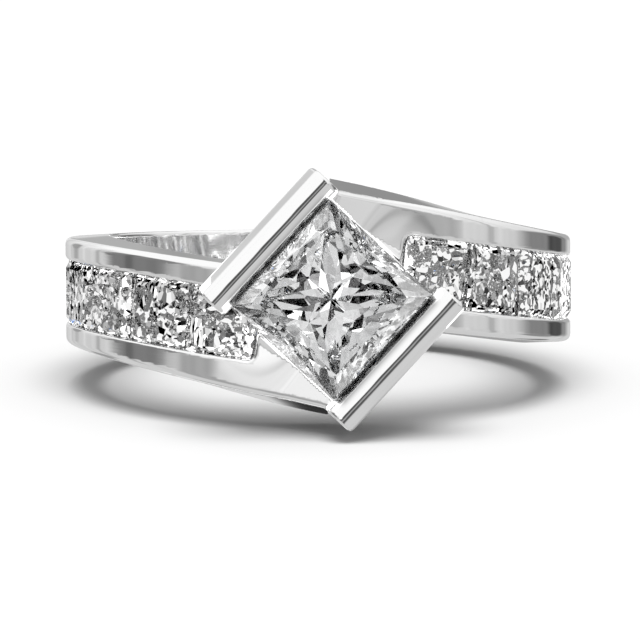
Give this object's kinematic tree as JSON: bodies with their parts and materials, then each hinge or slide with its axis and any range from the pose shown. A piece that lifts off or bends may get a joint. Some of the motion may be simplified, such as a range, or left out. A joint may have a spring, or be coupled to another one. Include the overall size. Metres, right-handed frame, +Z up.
{
  "type": "bypass engagement ring with a princess cut stone",
  "caption": "Finger ring lying on its side: a band whose shoulders pass a square faceted stone held between two slanting bars, with square stones set flush in each shoulder.",
  "frame": {"origin": "centre of the finger bore, on its axis and on the band's mid-plane", "axes": "+Z up as the ring lies on its side, close to the finger's axis, which leans towards the back by the angle at which the ring rests; -Y towards the centre stone's front; +X to the right as the stone is seen from the front"},
  "size_m": [0.0206, 0.0238, 0.0102],
  "materials": {
    "polished_metal": "mirror polished white gold",
    "clear_stone": "clear, polished facets"
  },
  "bodies": {
    "root": {"ring_band": "polished_metal", "center_stone": "clear_stone", "side_stone_left_1": "clear_stone", "side_stone_left_2": "clear_stone", "side_stone_left_3": "clear_stone", "side_stone_left_4": "clear_stone", "side_stone_left_5": "clear_stone", "side_stone_right_1": "clear_stone", "side_stone_right_2": "clear_stone", "side_stone_right_3": "clear_stone", "side_stone_right_4": "clear_stone", "side_stone_right_5": "clear_stone"}
  },
  "joints": []
}
